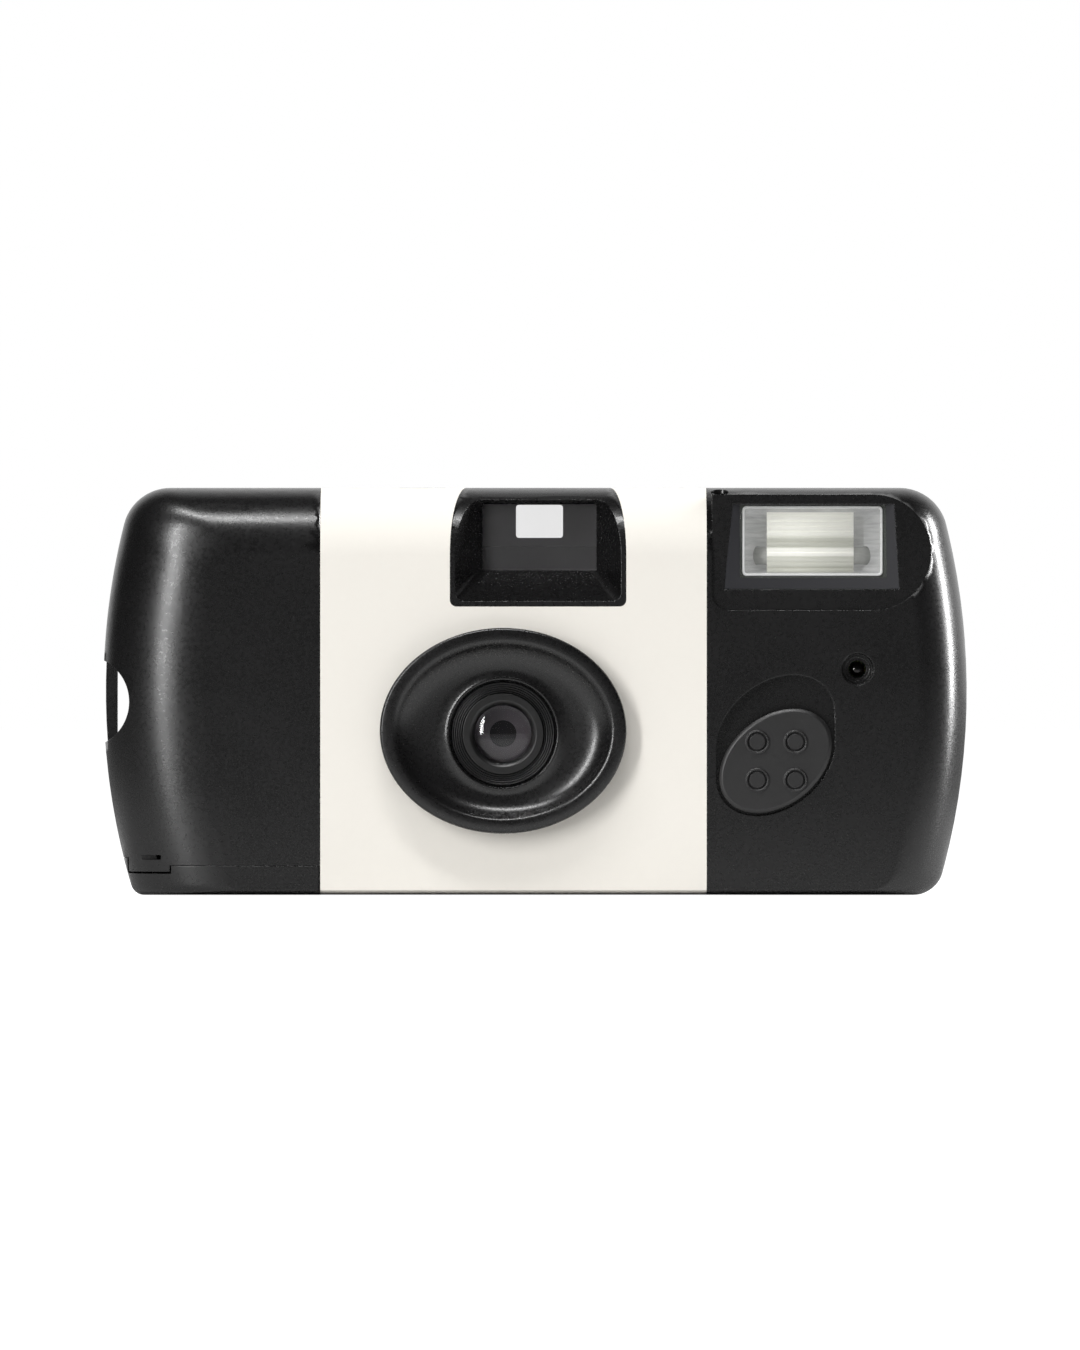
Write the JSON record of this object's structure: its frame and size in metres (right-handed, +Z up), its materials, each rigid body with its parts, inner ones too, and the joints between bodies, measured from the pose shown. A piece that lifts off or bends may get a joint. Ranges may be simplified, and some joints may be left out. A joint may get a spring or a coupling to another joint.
{
  "type": "single-use film camera",
  "caption": "Slim single-use film camera with a built-in flash, a dished oval lens surround, a funnel viewfinder, a sliding flash switch and a bare label band.",
  "frame": {"origin": "middle of the housing's width and depth, on the plane it stands on", "axes": "+X to the right as seen from the front, -Y the way the lens looks, +Z up"},
  "size_m": [0.1166, 0.034, 0.055],
  "materials": {
    "black_plastic": "fine spark-eroded black",
    "inner_black_plastic": "dull black",
    "label_paper": "smooth cream card, bare",
    "clear_plastic": "clear moulded plastic",
    "steel": "thin spring steel",
    "cassette_metal": "painted tinplate",
    "cassette_cap": "black lacquered tinplate",
    "film": "film base",
    "white_plastic": "white moulded",
    "button_plastic": "smooth dark",
    "reflector_metal": "bright trough",
    "tube_glass": "clear tube",
    "board": "brown laminate",
    "capacitor_sleeve": "shrunk sleeve",
    "transformer_core": "ferrite and tape",
    "copper_coil": "enamelled wire",
    "lamp_glass": "small glass lamp",
    "resistor_body": "lacquered",
    "battery_jacket": "plain jacket",
    "contact_metal": "nickelled strip",
    "switch_plastic": "dark grey moulded",
    "pipe_plastic": "clear orange rod"
  },
  "bodies": {
    "camera": {"aperture_plate": "inner_black_plastic", "battery_cell": "battery_jacket", "blade_spring": "steel", "button_spring": "steel", "cassette_bottom_cap": "cassette_cap", "cassette_shell": "cassette_metal", "cassette_top_cap": "cassette_cap", "charge_contact": "contact_metal", "circuit_board": "board", "counter_window": "clear_plastic", "film_strip": "film", "flash_capacitor": "capacitor_sleeve", "flash_reflector": "reflector_metal", "flash_tube": "tube_glass", "flash_window": "clear_plastic", "front_cover": "black_plastic", "label_band": "label_paper", "lens_retainer": "black_plastic", "main_frame": "inner_black_plastic", "negative_contact": "contact_metal", "pawl_spring": "steel", "positive_contact": "contact_metal", "power_transistor": "inner_black_plastic", "ready_lamp": "lamp_glass", "rear_cover": "black_plastic", "resistor_1": "resistor_body", "resistor_2": "resistor_body", "resistor_3": "resistor_body", "striker_spring": "steel", "sync_contact": "contact_metal", "taking_lens": "clear_plastic", "transformer": "transformer_core", "trigger_coil": "copper_coil", "viewfinder_eyepiece": "clear_plastic", "viewfinder_front_lens": "clear_plastic"},
    "winder": {"thumbwheel": "black_plastic", "cassette_spool": "inner_black_plastic"},
    "metering": {"film_sprocket": "white_plastic", "sprocket_cam": "white_plastic"},
    "supply": {"film_roll": "film", "roll_core": "inner_black_plastic"},
    "counter": {"counter_dial": "white_plastic"},
    "button": {"shutter_button": "button_plastic"},
    "release": {"release_lever": "white_plastic"},
    "shutter": {"shutter_blade": "steel"},
    "striker": {"striker_lever": "inner_black_plastic"},
    "pawl": {"wind_pawl": "white_plastic"},
    "flash_slide": {"flash_switch": "switch_plastic", "ready_light_pipe": "pipe_plastic"},
    "door": {"film_door": "black_plastic"}
  },
  "joints": [
    {"name": "thumbwheel_turn", "type": "hinge", "parent": "camera", "child": "winder", "pos_m": [-0.0393, 0.0023, 0.047], "axis": [0, 0, 1], "continuous": true},
    {"name": "sprocket_turn", "type": "hinge", "parent": "camera", "child": "metering", "pos_m": [-0.0173, 0.0056, 0.04], "axis": [0, 0, 1], "continuous": true},
    {"name": "roll_turn", "type": "hinge", "parent": "camera", "child": "supply", "pos_m": [0.025, 0.0039, 0.022], "axis": [0, 0, 1], "continuous": true},
    {"name": "counter_turn", "type": "hinge", "parent": "camera", "child": "counter", "pos_m": [-0.0152, -0.0015, 0.051], "axis": [0, 0, 1], "continuous": true},
    {"name": "shutter_press", "type": "slide", "parent": "camera", "child": "button", "axis": [0, 0, -1], "range_m": [0, 0.0012], "stiffness_N_per_m": 300, "springref_m": -0.0004},
    {"name": "release_rock", "type": "hinge", "parent": "camera", "child": "release", "pos_m": [-0.0118, -0.0042, 0.0446], "axis": [0, -1, 0], "range_deg": [0, 6], "stiffness_Nm_per_rad": 0.0005, "springref_deg": -8.59},
    {"name": "blade_swing", "type": "hinge", "parent": "camera", "child": "shutter", "pos_m": [0.0052, -0.0091, 0.027], "axis": [0, 1, 0], "range_deg": [0, 30], "stiffness_Nm_per_rad": 0.0002, "springref_deg": -11.46},
    {"name": "striker_swing", "type": "hinge", "parent": "camera", "child": "striker", "pos_m": [-0.0145, -0.0112, 0.035], "axis": [0, 1, 0], "range_deg": [0, 20], "stiffness_Nm_per_rad": 0.0005, "springref_deg": -11.46},
    {"name": "pawl_swing", "type": "hinge", "parent": "camera", "child": "pawl", "pos_m": [-0.0215, -0.0076, 0.0464], "axis": [0, 0, 1], "range_deg": [0, 12], "stiffness_Nm_per_rad": 0.0005, "springref_deg": -11.46},
    {"name": "flash_slide_up", "type": "slide", "parent": "camera", "child": "flash_slide", "axis": [0, 0, 1], "range_m": [0, 0.0042]},
    {"name": "door_swing", "type": "hinge", "parent": "camera", "child": "door", "pos_m": [-0.04, 0.013, 0.0017], "axis": [1, 0, 0], "range_deg": [0, 80]}
  ],
  "couplings": [
    {"joint": "sprocket_turn", "follows": "thumbwheel_turn", "ratio": 1.3},
    {"joint": "roll_turn", "follows": "thumbwheel_turn", "ratio": 1},
    {"joint": "counter_turn", "follows": "thumbwheel_turn", "ratio": -0.04}
  ]
}
